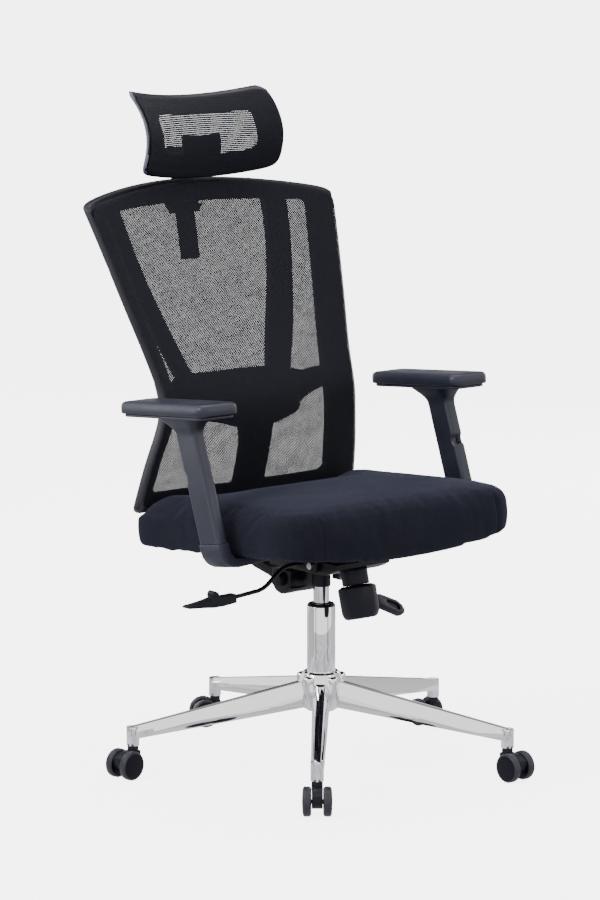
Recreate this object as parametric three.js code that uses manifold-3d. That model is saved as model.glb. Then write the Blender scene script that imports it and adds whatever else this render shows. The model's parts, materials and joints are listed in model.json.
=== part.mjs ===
// Swivel office chair: five-star base on twin-wheel casters, gas lift, synchro tilt mechanism,
// upholstered seat, height-adjustable arms, mesh back with a rear spine, and a mesh headrest.
// Millimetres, +Z up. The sitter faces -Y, with the sitter's left hand towards +X.

import * as THREE from 'three';
import { mergeVertices } from 'three/addons/utils/BufferGeometryUtils.js';
import Module from 'manifold-3d';

const wasm = await Module();
wasm.setup();

// ---------------------------------------------------------------- driving dimensions

const COLUMN_X = 1.5;            // where the gas lift stands, from the middle of the whole chair
const COLUMN_Y = -37.3;
const FIT = 0.4;                 // clearance between pieces that touch
const RUN = 0.3;                 // radial clearance of turning pieces

const LEG_COUNT = 5;
const FIRST_LEG_DEG = -131.4;    // heading of the first leg, counted from +X
const LEG_STEP_DEG = 360 / LEG_COUNT;
const STEM_RADIUS = 340;         // column axis to caster stem
const LEG_START = 22;
const LEG_WIDTH_HUB = 31;
const LEG_WIDTH_TIP = 22;
const LEG_TOP_HUB = 152;
const LEG_TOP_TIP = 88.5;
const LEG_BOTTOM_HUB = 106;
const LEG_BOTTOM_TIP = 68;
const SOCKET_RADIUS = 11.2;
const SOCKET_BOTTOM = 55.5;
const SOCKET_BORE_TOP = 80;
const HUB_RADIUS = 39;
const HUB_BOTTOM = 105;
const HUB_TOP = 166;

const WHEEL_RADIUS = 25;         // to the middle of the lowest flat of the tread
const WHEEL_WIDTH = 15;
const WHEEL_CENTRE = 17.3;       // from the middle of the caster to the middle of a wheel
const WHEEL_SIDES = 20;
const CASTER_TRAIL = 20;
const AXLE_RADIUS = 4;
const AXLE_REACH = 2.6;          // how far the axle ends inside the wheel past its middle
const NECK_RADIUS = 9.5;
const STEM_PIN_RADIUS = 5.5;
const CASTER_HEADINGS_DEG = [-130, 272, 93, 150, 187];  // which way each caster trails

const TUBE_RADIUS = 25;
const TUBE_WALL = 2;
const TUBE_BOTTOM = 96;
const TUBE_TOP = 282;
const LIFT_RADIUS = 14;
const LIFT_BOTTOM = 150;
const LIFT_TOP = 341;
const BUSHING_BOTTOM = 205;
const PISTON_RADIUS = 5;
const COLLAR_RADIUS = 16.5;
const COLLAR_BOTTOM = 317;

const SEAT_TILT = THREE.MathUtils.degToRad(4.7);       // rear edge lower than the front
const SEAT_WIDTH = 518;
const SEAT_DEPTH = 442;
const SEAT_CENTRE_Y = -24.5;
const SEAT_FRONT_CORNER = 76;
const SEAT_REAR_CORNER = 38;
const SEAT_BOW = 12;
const SEAT_UNDERSIDE = 410;
const PAN_THICKNESS = 10;
const PAN_INSET = 16;
const REAR_LIFT = 9;             // how much higher the dome stands at the rear than in front
const FRONT_DROOP = 20;          // how far the seat's lower front edge hangs in the middle
const TILT_AXIS_Y = -52;
const TILT_AXIS_Z = 368;
const BACK_AXIS_Y = 58;
const BACK_AXIS_Z = 326;
const BAR_HALF_WIDTH = 24;

const ARM_X = 285;
const ARM_BASE_Y = -57.5;
const ARM_BASE_Z = 434;
const POST_LENGTH = 150;
const BUTTON_HEIGHT = 116;
const ARM_LEAN = THREE.MathUtils.degToRad(19.5);
const SEAM_LEAN = THREE.MathUtils.degToRad(9);         // joint between bracket and sleeve
const SLEEVE_DEPTH = 52;
const SLEEVE_WIDTH = 24;
const SLEEVE_CORNER = 0.3;       // share of the section that each rounded corner takes
const SLEEVE_TOP = 217.6;        // along the sleeve, where it meets the pad
const PAD_LENGTH = 236;
const PAD_WIDTH = 84;
const PAD_THICKNESS = 21.4;
const PAD_BASE_THICKNESS = 5;
const PAD_X = 284;
const PAD_CENTRE_Y = 37;
const PAD_UNDERSIDE = 637.7;

const FRAME_THICKNESS = 21;
const FRAME_BORDER = 40;
const FRAME_BOTTOM = 442;
const FRAME_TOP = 979;
const FRAME_TOP_ARCH = 26;
const WINDOW_TOP = 957;
const WINDOW_BOTTOM = 472;
const SPINE_THICKNESS = 13;
const SPINE_GAP = 4.4;           // between the spine and the frame in front of it
const POST_GAP = 3.2;            // between the spine's post and the rail behind it
const MESH_THICKNESS = 1.6;
const MESH_GAP = 1.4;
const CORNER_TRIM = 9;

const HEAD_HALF_WIDTH = 153;
const HEAD_THICKNESS = 11;
const HEAD_HOLLOW = 30;          // how far the middle lies behind the two ends
const HEAD_SAG = 15;             // how far the middle hangs below the two ends
const HEAD_BOTTOM = 1022;
const HEAD_TOP = 1168;
const HEAD_WINDOW_HALF_WIDTH = 108;
const HEAD_WINDOW_BOTTOM = 1064;
const HEAD_WINDOW_TOP = 1134;
const HEAD_AXIS_Y = 400;
const HEAD_AXIS_Z = 1046;
const STEM_LEAN = THREE.MathUtils.degToRad(11);
const RAIL_REAR = 387;            // rear face of the back's top rail at its middle
const STEM_WIDTH = 40;
const STEM_DEPTH = 8;

// Side edge of the back, seen from the side and from the front: height, then the measure there.
const EDGE_DEPTH = [[440, 202], [530, 180], [600, 163], [640, 161], [700, 184], [800, 224],
  [900, 265], [985, 302]];
const EDGE_HALF_WIDTH = [[440, 246], [530, 233], [590, 220], [640, 214], [700, 221], [800, 242],
  [900, 262], [985, 279]];
// How far the middle of the frame lies behind its side edges, by height.
const FRAME_HOLLOW = [[440, -5], [560, -5], [670, 57], [800, 68], [985, 62]];
// How far the low part of the frame is dished back across its border, by height.
const RIM_DISH = [[440, 26], [540, 26], [610, 15], [700, 0]];
const MESH_HOLLOW = [[440, -9], [580, -9], [670, 4], [800, 25], [985, 46]];
// Side edge of the headrest, seen from the side: height, then depth.
const HEAD_DEPTH = [[1022, 302], [1045, 289], [1080, 282], [1100, 285], [1138, 307], [1168, 343]];

// ---------------------------------------------------------------- materials

function finish(colour, roughness, metalness) {
  return new THREE.MeshStandardMaterial({ color: colour, roughness, metalness });
}

const chrome = finish(0xd9dadd, 0.08, 1);
const steel = finish(0x9a9ca0, 0.35, 1);
const zinc = finish(0xb9bbc4, 0.3, 1);
const blackSteel = finish(0x17181c, 0.45, 0.4);
const blackPlastic = finish(0x1b1c22, 0.5, 0);
const glossPlastic = finish(0x15161a, 0.22, 0);
const armPlastic = finish(0x2b2d3a, 0.42, 0);
const treadPlastic = finish(0x23242b, 0.55, 0);
const headPlastic = finish(0x9a98b4, 0.45, 0);
const fabric = finish(0x1b1c2a, 0.95, 0);
const meshFabric = finish(0x24252c, 0.9, 0);

// ---------------------------------------------------------------- geometry helpers

const chair = new THREE.Group();
chair.position.set(COLUMN_X, COLUMN_Y, 0);

function place(parent, name, geometry, material) {
  const mesh = new THREE.Mesh(geometry, material);
  mesh.name = name;
  parent.add(mesh);
  return mesh;
}

function mix(from, to, share) {
  return from + (to - from) * share;
}

function smooth(value, from, to) {
  return THREE.MathUtils.smoothstep(value, from, to);
}

// Smooth curve through a short table of [position, value] pairs, held level past both ends.
function valueAt(table, position) {
  const last = table.length - 1;
  const clamped = THREE.MathUtils.clamp(position, table[0][0], table[last][0]);
  let index = 0;
  while (index < last - 1 && clamped > table[index + 1][0]) {
    index += 1;
  }
  const before = table[Math.max(index - 1, 0)];
  const start = table[index];
  const end = table[index + 1];
  const after = table[Math.min(index + 2, last)];
  const span = end[0] - start[0];
  const share = (clamped - start[0]) / span;
  const slopeStart = span * (end[1] - before[1]) / (end[0] - before[0]);
  const slopeEnd = span * (after[1] - start[1]) / (after[0] - start[0]);
  const square = share * share;
  const cube = square * share;
  return start[1] * (2 * cube - 3 * square + 1) + slopeStart * (cube - 2 * square + share)
    + end[1] * (3 * square - 2 * cube) + slopeEnd * (cube - square);
}

// Moves every vertex of a geometry by a function of its place.
function reshaped(geometry, move) {
  const positions = geometry.attributes.position;
  const point = new THREE.Vector3();
  for (let index = 0; index < positions.count; index += 1) {
    point.fromBufferAttribute(positions, index);
    move(point);
    positions.setXYZ(index, point.x, point.y, point.z);
  }
  geometry.computeVertexNormals();
  return geometry;
}

function solidOf(geometry) {
  const bare = geometry.clone();
  bare.deleteAttribute('normal');
  bare.deleteAttribute('uv');
  const merged = mergeVertices(bare, 1e-3);
  const corners = merged.index.array;
  const kept = [];
  for (let at = 0; at < corners.length; at += 3) {
    const [a, b, c] = [corners[at], corners[at + 1], corners[at + 2]];
    if (a !== b && b !== c && c !== a) {
      kept.push(a, b, c);
    }
  }
  return new wasm.Manifold(new wasm.Mesh({
    numProp: 3,
    vertProperties: new Float32Array(merged.attributes.position.array),
    triVerts: new Uint32Array(kept),
  }));
}

function geometryOf(solid) {
  const mesh = solid.getMesh();
  const geometry = new THREE.BufferGeometry();
  geometry.setAttribute('position', new THREE.BufferAttribute(mesh.vertProperties, 3));
  geometry.setIndex(new THREE.BufferAttribute(mesh.triVerts, 1));
  geometry.computeVertexNormals();
  return geometry;
}

function joined(first, ...others) {
  let solid = solidOf(first);
  for (const other of others) {
    solid = solid.add(solidOf(other));
  }
  return geometryOf(solid);
}

function cut(body, ...tools) {
  let solid = solidOf(body);
  for (const tool of tools) {
    solid = solid.subtract(solidOf(tool));
  }
  return geometryOf(solid);
}

// Outline through [x, y] corners.
function outline(corners) {
  const shape = new THREE.Shape();
  corners.forEach(([x, y], index) => {
    if (index === 0) {
      shape.moveTo(x, y);
    } else {
      shape.lineTo(x, y);
    }
  });
  shape.closePath();
  return shape;
}

// Outline through [x, y] corners, each rounded to the radius.
function roundedOutline(corners, radius) {
  const shape = new THREE.Shape();
  const points = corners.map(([x, y]) => new THREE.Vector2(x, y));
  points.forEach((corner, index) => {
    const before = points[(index + points.length - 1) % points.length];
    const after = points[(index + 1) % points.length];
    const reachIn = Math.min(radius, corner.distanceTo(before) * 0.49);
    const reachOut = Math.min(radius, corner.distanceTo(after) * 0.49);
    const start = corner.clone().add(before.clone().sub(corner).setLength(reachIn));
    const end = corner.clone().add(after.clone().sub(corner).setLength(reachOut));
    if (index === 0) {
      shape.moveTo(start.x, start.y);
    } else {
      shape.lineTo(start.x, start.y);
    }
    shape.quadraticCurveTo(corner.x, corner.y, end.x, end.y);
  });
  shape.closePath();
  return shape;
}

function rectangle(width, height, radius) {
  const [x, y] = [width / 2, height / 2];
  return roundedOutline([[-x, -y], [x, -y], [x, y], [-x, y]], radius);
}

function extruded(shape, depth, curveSegments = 4) {
  return new THREE.ExtrudeGeometry(shape, { depth, steps: 1, bevelEnabled: false, curveSegments });
}

// Slab with softened top and bottom edges; its underside lies at z = 0.
function slab(shape, height, bevel, curveSegments = 4) {
  const geometry = new THREE.ExtrudeGeometry(shape, {
    depth: height - 2 * bevel,
    bevelEnabled: true,
    bevelSize: bevel,
    bevelThickness: bevel,
    bevelOffset: -bevel,
    bevelSegments: 2,
    curveSegments,
  });
  return geometry.translate(0, 0, bevel);
}

// Turned piece about +Z: a profile of [radius, height] corners, counter-clockwise.
function turned(profile, sides = 32) {
  const points = profile.map(([radius, height]) => new THREE.Vector2(radius, height));
  return new THREE.LatheGeometry(points, sides).rotateX(Math.PI / 2);
}

function rod(radius, bottom, top, sides = 24) {
  return turned([[0, bottom], [radius, bottom], [radius, top], [0, top]], sides);
}

function tube(radius, bore, bottom, top, sides = 32) {
  return turned([[bore, bottom], [radius, bottom], [radius, top], [bore, top], [bore, bottom]], sides);
}

// Closed body through a stack of loops of equal length, lowest first, capped at both ends. The
// loops run counter-clockwise seen from above.
function lofted(loops) {
  const count = loops[0].length;
  const points = loops.flat();
  const corners = [];
  for (let low = 0; low < points.length - count; low += count) {
    const high = low + count;
    for (let index = 0; index < count; index += 1) {
      const next = (index + 1) % count;
      corners.push(low + index, low + next, high + next, low + index, high + next, high + index);
    }
  }
  for (const [loop, start] of [[loops[0], 0], [loops[loops.length - 1], points.length - count]]) {
    const centre = new THREE.Vector3();
    loop.forEach((point) => centre.addScaledVector(point, 1 / count));
    for (let index = 0; index < count; index += 1) {
      const [first, second] = [start + index, start + (index + 1) % count];
      corners.push(points.length, ...(start === 0 ? [second, first] : [first, second]));
    }
    points.push(centre);
  }
  const geometry = new THREE.BufferGeometry().setFromPoints(points);
  geometry.setIndex(corners);
  geometry.computeVertexNormals();
  return geometry;
}

// Round bar along a path of corner points, each bend softened.
function bentBar(corners, radius, sides, steps) {
  const path = new THREE.CurvePath();
  const points = corners.map((corner) => new THREE.Vector3(...corner));
  const bend = radius * 4;
  let start = points[0];
  for (let index = 1; index < points.length - 1; index += 1) {
    const corner = points[index];
    const before = corner.clone().add(points[index - 1].clone().sub(corner).setLength(bend));
    const after = corner.clone().add(points[index + 1].clone().sub(corner).setLength(bend));
    path.add(new THREE.LineCurve3(start, before));
    path.add(new THREE.QuadraticBezierCurve3(before, corner, after));
    start = after;
  }
  path.add(new THREE.LineCurve3(start, points[points.length - 1]));
  const section = new THREE.Shape();
  section.absarc(0, 0, radius, 0, Math.PI * 2);
  return new THREE.ExtrudeGeometry(section, {
    steps,
    curveSegments: sides / 2,
    bevelEnabled: false,
    extrudePath: path,
  });
}

// ---------------------------------------------------------------- star base

function starLeg() {
  const section = outline([[-0.5, 0], [0.5, 0], [0.46, 0.62], [0.26, 1], [-0.26, 1], [-0.46, 0.62]]);
  const leg = new THREE.ExtrudeGeometry(section, { depth: 1, steps: 4, bevelEnabled: false });
  return reshaped(leg, (point) => {
    const share = point.z;
    const bottom = mix(LEG_BOTTOM_HUB, LEG_BOTTOM_TIP, share);
    const top = mix(LEG_TOP_HUB, LEG_TOP_TIP, share);
    const width = mix(LEG_WIDTH_HUB, LEG_WIDTH_TIP, share);
    point.set(mix(LEG_START, STEM_RADIUS, share), point.x * width, mix(bottom, top, point.y));
  });
}

function starBase() {
  const hub = turned([[0, HUB_BOTTOM], [HUB_RADIUS - 4, HUB_BOTTOM], [HUB_RADIUS, HUB_BOTTOM + 5],
    [HUB_RADIUS, LEG_TOP_HUB - 4], [HUB_RADIUS - 6, HUB_TOP - 3], [HUB_RADIUS - 10, HUB_TOP],
    [0, HUB_TOP]], 32);
  let star = solidOf(hub);
  for (let index = 0; index < LEG_COUNT; index += 1) {
    const heading = THREE.MathUtils.degToRad(FIRST_LEG_DEG + LEG_STEP_DEG * index);
    const socket = rod(SOCKET_RADIUS, SOCKET_BOTTOM, LEG_TOP_TIP, 16).translate(STEM_RADIUS, 0, 0);
    const bore = rod(STEM_PIN_RADIUS + RUN, SOCKET_BOTTOM - 1, SOCKET_BORE_TOP, 12)
      .translate(STEM_RADIUS, 0, 0);
    star = star.add(solidOf(starLeg().rotateZ(heading)));
    star = star.add(solidOf(socket.rotateZ(heading)));
    star = star.subtract(solidOf(bore.rotateZ(heading)));
  }
  const columnBore = rod(TUBE_RADIUS + FIT, HUB_BOTTOM - 2, HUB_TOP + 2, 32);
  return geometryOf(star.subtract(solidOf(columnBore)));
}

place(chair, 'star_base', starBase(), chrome);

// ---------------------------------------------------------------- casters

// One caster trails towards +X from its stem, which stands on the group's origin.
function casterHood() {
  const axleHeight = WHEEL_RADIUS;
  const cheek = new THREE.Shape();
  cheek.moveTo(-NECK_RADIUS, 46);
  cheek.lineTo(-NECK_RADIUS, 34);
  cheek.quadraticCurveTo(-6, 20, 8, 14);
  cheek.lineTo(CASTER_TRAIL + 6, 14);
  cheek.quadraticCurveTo(CASTER_TRAIL + 22, 22, CASTER_TRAIL + 18, 38);
  cheek.quadraticCurveTo(CASTER_TRAIL + 6, 48, NECK_RADIUS, 47);
  cheek.closePath();
  const thickness = 2 * (WHEEL_CENTRE - WHEEL_WIDTH / 2) - 1.2;
  const body = extruded(cheek, thickness, 5).rotateX(Math.PI / 2).translate(0, thickness / 2, 0);
  const neck = rod(NECK_RADIUS, 40, SOCKET_BOTTOM - FIT, 16);
  const pin = rod(STEM_PIN_RADIUS, 50, SOCKET_BORE_TOP - 1, 12);
  const axle = rod(AXLE_RADIUS, -WHEEL_CENTRE - AXLE_REACH, WHEEL_CENTRE + AXLE_REACH, 12)
    .rotateX(Math.PI / 2)
    .translate(CASTER_TRAIL, 0, axleHeight);
  return joined(body, neck, pin, axle);
}

function casterWheel(side) {
  const half = WHEEL_WIDTH / 2;
  const tread = WHEEL_RADIUS / Math.cos(Math.PI / WHEEL_SIDES);
  const bore = AXLE_RADIUS + RUN;
  const boreEnd = half - 4;      // the bore is blind, closed by the outer face
  const profile = [[0, boreEnd], [bore, boreEnd], [bore, -half], [tread - 3, -half],
    [tread, -half + 3], [tread, half - 3], [tread - 3, half - 0.6], [tread - 9, half], [0, half + 0.8]];
  const wheel = turned(profile, WHEEL_SIDES).rotateZ(Math.PI / WHEEL_SIDES);
  wheel.rotateX(-side * Math.PI / 2);
  return wheel.translate(CASTER_TRAIL, side * WHEEL_CENTRE, WHEEL_RADIUS);
}

for (let index = 0; index < LEG_COUNT; index += 1) {
  const heading = THREE.MathUtils.degToRad(FIRST_LEG_DEG + LEG_STEP_DEG * index);
  const caster = new THREE.Group();
  caster.position.set(STEM_RADIUS * Math.cos(heading), STEM_RADIUS * Math.sin(heading), 0);
  caster.rotation.z = THREE.MathUtils.degToRad(CASTER_HEADINGS_DEG[index]);
  chair.add(caster);
  const label = `caster_${index + 1}`;
  place(caster, `${label}_hood`, casterHood(), blackPlastic);
  place(caster, `${label}_wheel_left`, casterWheel(1), treadPlastic);
  place(caster, `${label}_wheel_right`, casterWheel(-1), treadPlastic);
}

// ---------------------------------------------------------------- gas lift

function columnTube() {
  const inner = TUBE_RADIUS - TUBE_WALL;
  return turned([[PISTON_RADIUS + FIT, TUBE_BOTTOM], [TUBE_RADIUS, TUBE_BOTTOM],
    [TUBE_RADIUS, TUBE_TOP], [inner, TUBE_TOP], [inner, TUBE_BOTTOM + 6],
    [PISTON_RADIUS + FIT, TUBE_BOTTOM + 6], [PISTON_RADIUS + FIT, TUBE_BOTTOM]], 32);
}

function columnRing() {
  const inner = LIFT_RADIUS + RUN;
  return turned([[inner, TUBE_TOP + FIT], [TUBE_RADIUS - 0.5, TUBE_TOP + FIT],
    [TUBE_RADIUS - 0.5, TUBE_TOP + 2], [TUBE_RADIUS - 3, TUBE_TOP + 4.5], [inner + 3, TUBE_TOP + 5],
    [inner, TUBE_TOP + 3], [inner, TUBE_TOP + FIT]]);
}

function liftCylinder() {
  const bore = PISTON_RADIUS + RUN;
  return turned([[bore, LIFT_BOTTOM], [LIFT_RADIUS, LIFT_BOTTOM], [LIFT_RADIUS, LIFT_TOP - 24],
    [LIFT_RADIUS - 0.8, LIFT_TOP], [0, LIFT_TOP], [0, LIFT_TOP - 30], [bore, LIFT_TOP - 30],
    [bore, LIFT_BOTTOM]], 32);
}

place(chair, 'column_tube', columnTube(), chrome);
place(chair, 'column_ring', columnRing(), blackPlastic);
place(chair, 'column_bushing', tube(TUBE_RADIUS - TUBE_WALL - FIT, LIFT_RADIUS + RUN,
  BUSHING_BOTTOM, TUBE_TOP), blackPlastic);
place(chair, 'piston_rod', rod(PISTON_RADIUS, TUBE_BOTTOM + 1, 245, 20), steel);
place(chair, 'lift_cylinder', liftCylinder(), chrome);

// ---------------------------------------------------------------- tilt mechanism

const HOUSING_TOP = 376;
const HOUSING_BOTTOM = 343.5;
const HOUSING_HALF_WIDTH = 60;
const SHAFT_RADIUS = 6;
const SHAFT_HALF_LENGTH = 72;
const SHAFT_BORE_REACH = 80;
const PIN_RADIUS = 5;
const TENSION_LEAN = THREE.MathUtils.degToRad(14.2);
const TENSION_Y = -84.6;
const TENSION_Z = 365;
const SLEEVE_RADIUS = 23.5;
const SLEEVE_END = 33.5;         // along the spring's axis
const KNOB_START = 34;
const KNOB_END = 92;
const KNOB_RADIUS = 34;
const FLUTES = 9;
const FLUTE_SHARE = 0.035;       // depth of a flute, as a share of the radius

// Turns an outline of [depth, height] into a block along X, centred on the middle of the chair.
function crosswise(shape, width, curveSegments = 4) {
  return extruded(shape, width, curveSegments)
    .rotateY(Math.PI / 2)
    .rotateX(Math.PI / 2)
    .translate(-width / 2, 0, 0);
}

function crossRod(radius, from, to, depth, height, sides = 20) {
  return rod(radius, from, to, sides).rotateY(Math.PI / 2).translate(0, depth, height);
}

// Brings a piece built about +Z on to the slanted axis of the tension spring, pointing down.
function onTensionAxis(geometry) {
  return geometry.rotateX(Math.PI - TENSION_LEAN).translate(0, TENSION_Y, TENSION_Z);
}

// Pressed steel pan under the seat, dished along its lower edge.
function mechanismHousing() {
  const side = new THREE.Shape();
  side.moveTo(-112, HOUSING_TOP);
  side.lineTo(-112, 368);
  side.quadraticCurveTo(-80, 350, -34, HOUSING_BOTTOM);
  side.lineTo(56, HOUSING_BOTTOM);
  side.quadraticCurveTo(70, 350, 70, 368);
  side.lineTo(62, HOUSING_TOP);
  side.closePath();
  const dished = reshaped(crosswise(side, 2 * HOUSING_HALF_WIDTH), (point) => {
    const rise = 10 * (point.x / HOUSING_HALF_WIDTH) ** 2;
    point.z = Math.max(point.z, HOUSING_BOTTOM + rise);
  });
  const socket = rod(LIFT_RADIUS + RUN, 330, LIFT_TOP + 4, 32);
  const sleeveSocket = onTensionAxis(rod(SLEEVE_RADIUS + 1, -30, 40, 28));
  const shaftBore = crossRod(SHAFT_RADIUS + RUN, -SHAFT_BORE_REACH, SHAFT_BORE_REACH, TILT_AXIS_Y,
    TILT_AXIS_Z);
  return cut(dished, socket, sleeveSocket, shaftBore);
}

// Block that hangs behind the column and carries the back's pivot pin.
function backHingeBlock() {
  const side = new THREE.Shape();
  side.moveTo(32, 343);
  side.lineTo(32, 318);
  side.quadraticCurveTo(34, 300, 56, 299);
  side.quadraticCurveTo(80, 300, 81, 322);
  side.lineTo(81, 343);
  side.closePath();
  const slot = new THREE.BoxGeometry(2 * BAR_HALF_WIDTH + 1.4, 80, 60).translate(0, 82, 307.5);
  const bore = crossRod(PIN_RADIUS + RUN, -60, 60, BACK_AXIS_Y, BACK_AXIS_Z);
  return cut(crosswise(side, 88, 5), slot, bore);
}

// Fluted grip, open towards the sleeve that it turns on.
function tensionKnob() {
  const knob = turned([[0, KNOB_START], [KNOB_RADIUS - 8, KNOB_START], [KNOB_RADIUS, KNOB_START + 4],
    [KNOB_RADIUS - 1, KNOB_END - 10], [KNOB_RADIUS - 5, KNOB_END - 2], [KNOB_RADIUS - 10, KNOB_END],
    [0, KNOB_END]], 36);
  return reshaped(knob, (point) => {
    const radius = Math.hypot(point.x, point.y);
    const angle = Math.atan2(point.y, point.x);
    const flute = radius > KNOB_RADIUS - 10 ? 1 - FLUTE_SHARE * (0.5 - 0.5 * Math.cos(FLUTES * angle)) : 1;
    point.x *= flute;
    point.y *= flute;
  });
}

const mechanism = new THREE.Group();
chair.add(mechanism);
place(mechanism, 'mechanism_housing', mechanismHousing(), blackSteel);
place(mechanism, 'lift_collar', tube(COLLAR_RADIUS, LIFT_RADIUS + FIT, COLLAR_BOTTOM, 343), blackPlastic);
place(mechanism, 'back_hinge_block', backHingeBlock(), glossPlastic);
place(mechanism, 'pivot_pin', crossRod(PIN_RADIUS, -44, 46, BACK_AXIS_Y, BACK_AXIS_Z), steel);
place(mechanism, 'pivot_cap', crossRod(13, -56, -44.6, BACK_AXIS_Y, BACK_AXIS_Z, 18), blackPlastic);
const wedge = outline([[20, 328], [50, 342], [50, 343], [20, 343]]);
place(mechanism, 'zinc_bracket', extruded(wedge, 24).rotateX(Math.PI / 2).translate(0, -6, 0), zinc);
const sleeve = turned([[0, 4], [SLEEVE_RADIUS - 2.5, 4], [SLEEVE_RADIUS, 8], [SLEEVE_RADIUS, SLEEVE_END],
  [0, SLEEVE_END]], 28);
place(mechanism, 'tension_sleeve', onTensionAxis(sleeve), blackPlastic);
place(mechanism, 'tension_knob', onTensionAxis(tensionKnob()), blackPlastic);

// ---------------------------------------------------------------- levers

const LIFT_LEVER_Y = -20;
const LIFT_LEVER_ROD = [[-62, LIFT_LEVER_Y, 368], [-104, LIFT_LEVER_Y, 366],
  [-147, LIFT_LEVER_Y, 332], [-222, LIFT_LEVER_Y, 326.5]];
const TILT_LEVER_Y = 6;
const TILT_LEVER_ROD = [[62, TILT_LEVER_Y, 352], [84, TILT_LEVER_Y, 330], [106, TILT_LEVER_Y, 286],
  [132, TILT_LEVER_Y, 273]];

function liftLeverHandle() {
  const paddle = new THREE.Shape();
  paddle.moveTo(-212, 319);
  paddle.lineTo(-212, 334);
  paddle.lineTo(-248, 333);
  paddle.quadraticCurveTo(-250, 342, -258, 345);
  paddle.quadraticCurveTo(-266, 343, -263, 333);
  paddle.quadraticCurveTo(-280, 329, -315, 326);
  paddle.quadraticCurveTo(-320, 324, -315, 321.5);
  paddle.quadraticCurveTo(-280, 319, -262, 316.5);
  paddle.lineTo(-240, 316.5);
  paddle.closePath();
  const width = 17;
  const blade = extruded(paddle, width, 4).rotateX(Math.PI / 2);
  const bore = new THREE.BoxGeometry(14, 8.9, 8.9).translate(-216, 0, 327);
  return cut(blade.translate(0, width / 2, 0), bore).translate(0, LIFT_LEVER_Y, 0);
}

function tiltLeverHandle() {
  const blade = outline([[0, -9], [14, -14], [58, -15], [70, -9], [74, 0], [70, 9], [58, 15],
    [14, 14], [0, 9]]);
  const paddle = slab(blade, 11, 1.5).translate(0, 0, -5.5);
  const hollow = extruded(rectangle(34, 15, 7), 8).translate(44, 0, 1.5);
  const bore = new THREE.BoxGeometry(18, 8.9, 8.9).translate(-1, 0, 0);
  return cut(paddle, hollow, bore)
    .rotateX(THREE.MathUtils.degToRad(48))
    .rotateY(THREE.MathUtils.degToRad(24))
    .translate(129, TILT_LEVER_Y, 274.4);
}

place(mechanism, 'lift_lever_rod', bentBar(LIFT_LEVER_ROD, 4, 8, 16), blackSteel);
place(mechanism, 'lift_lever_handle', liftLeverHandle(), blackPlastic);
place(mechanism, 'tilt_lever_rod', bentBar(TILT_LEVER_ROD, 4, 8, 14), blackSteel);
place(mechanism, 'tilt_lever_handle', tiltLeverHandle(), blackPlastic);

// ---------------------------------------------------------------- seat

const seat = new THREE.Group();
seat.position.set(0, SEAT_CENTRE_Y, SEAT_UNDERSIDE);
seat.rotation.x = -SEAT_TILT;
chair.add(seat);

// Plan of the seat: straight sides, wide round corners, a slightly bowed front edge.
function seatOutline(inset) {
  const x = SEAT_WIDTH / 2 - inset;
  const y = SEAT_DEPTH / 2 - inset;
  const front = Math.min(SEAT_FRONT_CORNER, 0.6 * y);
  const rear = Math.min(SEAT_REAR_CORNER, 0.6 * y);
  const shape = new THREE.Shape();
  shape.moveTo(-x + front, -y);
  shape.quadraticCurveTo(0, -y - SEAT_BOW, x - front, -y);
  shape.quadraticCurveTo(x, -y, x, -y + front);
  shape.lineTo(x, y - rear);
  shape.quadraticCurveTo(x, y, x - rear, y);
  shape.lineTo(-x + rear, y);
  shape.quadraticCurveTo(-x, y, -x, y - rear);
  shape.lineTo(-x, -y + front);
  shape.quadraticCurveTo(-x, -y, -x + front, -y);
  return shape;
}

// Section of the cushion: inset from the plan of the seat, then height over the seat's underside.
const CUSHION_SECTION = [[14, -2], [6, 0], [3, 8], [2, 22], [3, 40], [7, 51], [17, 60], [38, 67],
  [80, 73], [140, 77]];

// Domed cushion that wraps down round the pan, its lower front edge hanging in the middle.
function seatCushion() {
  const loops = CUSHION_SECTION.map(([inset, height]) => {
    const loop = seatOutline(inset).getPoints(5).slice(0, -1);
    return loop.map(({ x, y }) => {
      const middle = 1 - (2 * x / SEAT_WIDTH) ** 2;
      const front = smooth(-y, 0.24 * SEAT_DEPTH, 0.46 * SEAT_DEPTH);
      const lower = 1 - smooth(height, 0, 30);
      const lift = REAR_LIFT * smooth(inset, 10, 38) * (y / SEAT_DEPTH + 0.25);
      return new THREE.Vector3(x, y, height + lift - FRONT_DROOP * middle * front * lower);
    });
  });
  const recess = extruded(seatOutline(PAN_INSET - FIT), 40, 5).translate(0, 0, PAN_THICKNESS - 41);
  return cut(lofted(loops), recess);
}

// Steel plate that carries the seat, with two cheeks down to the tilt axis.
function seatPlate() {
  const plate = slab(rectangle(190, 220, 24), 4, 1, 3)
    .translate(0, 8, -6)
    .rotateX(-SEAT_TILT)
    .translate(0, SEAT_CENTRE_Y, SEAT_UNDERSIDE);
  let solid = solidOf(plate);
  for (const side of [-1, 1]) {
    const x = side * (HOUSING_HALF_WIDTH + 5);
    const cheek = crosswise(outline([[TILT_AXIS_Y - 24, 407], [TILT_AXIS_Y - 11, 357],
      [TILT_AXIS_Y + 11, 357], [TILT_AXIS_Y + 30, 404]]), 5);
    solid = solid.add(solidOf(cheek.translate(x, 0, 0)));
  }
  const bore = crossRod(SHAFT_RADIUS + RUN, -SHAFT_BORE_REACH, SHAFT_BORE_REACH, TILT_AXIS_Y,
    TILT_AXIS_Z);
  return geometryOf(solid.subtract(solidOf(bore)));
}

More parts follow.
